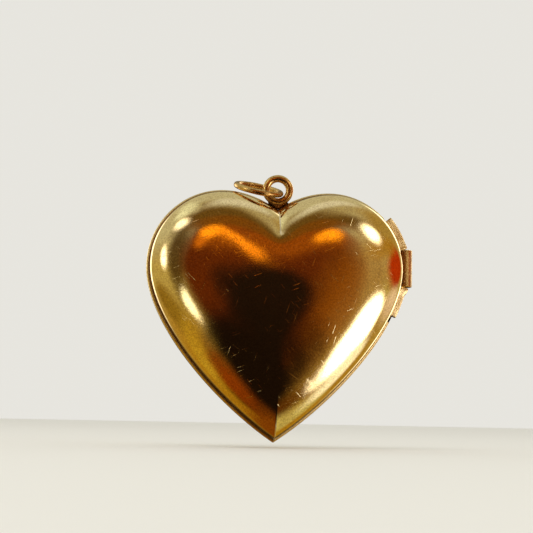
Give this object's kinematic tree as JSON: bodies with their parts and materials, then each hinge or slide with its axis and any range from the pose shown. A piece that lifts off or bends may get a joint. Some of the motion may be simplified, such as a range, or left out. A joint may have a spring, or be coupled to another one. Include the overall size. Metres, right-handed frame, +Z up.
{
  "type": "heart locket",
  "caption": "Puffed heart locket whose front half swings open on a side hinge, with picture recesses, a bail eye and a jump ring.",
  "frame": {"origin": "centre of the bail eye, on the seam plane between the two halves", "axes": "+Z up as the locket hangs, +X towards the hinge, -Y out of the front face, +Y out of the back"},
  "size_m": [0.0308, 0.0096, 0.0309],
  "materials": {
    "polished_gold": "rolled gold on brass, polished, with fine scratches and softly worn edges",
    "gold_rim": "rolled gold on brass, satin, browner in the seam",
    "brass_plate": "plain brass sheet, brushed",
    "hinge_brass": "worn brass tube and pin, brown in the joints",
    "coppery_wire": "drawn wire, darkened to a coppery brown, bright where it rubs",
    "dark_solder": "dull brown solder",
    "clear_window": "clear acetate sheet",
    "picture_card": "plain cream paper card"
  },
  "bodies": {
    "rear_half": {"rear_shell": "polished_gold", "rear_rim": "gold_rim", "snap_lip": "gold_rim", "rear_backing_plate": "brass_plate", "rear_picture": "picture_card", "rear_window": "clear_window", "rear_picture_frame": "gold_rim", "hinge_middle_knuckle": "hinge_brass", "bail_eye": "coppery_wire", "bail_foot": "dark_solder"},
    "front_half": {"front_shell": "polished_gold", "front_rim": "gold_rim", "front_backing_plate": "brass_plate", "front_picture": "picture_card", "front_window": "clear_window", "front_picture_frame": "gold_rim", "hinge_upper_knuckle": "hinge_brass", "hinge_lower_knuckle": "hinge_brass", "hinge_pin": "hinge_brass"},
    "jump_ring": {"jump_ring": "coppery_wire"}
  },
  "joints": [
    {"name": "cover_hinge", "type": "hinge", "parent": "rear_half", "child": "front_half", "pos_m": [0.01483, 0, -0.00878], "axis": [0, 0, 1], "range_deg": [0, 175]},
    {"name": "jump_ring_swing", "type": "hinge", "parent": "rear_half", "child": "jump_ring", "pos_m": [0, 0, 0], "axis": [0, 1, 0], "range_deg": [0, 160]}
  ]
}
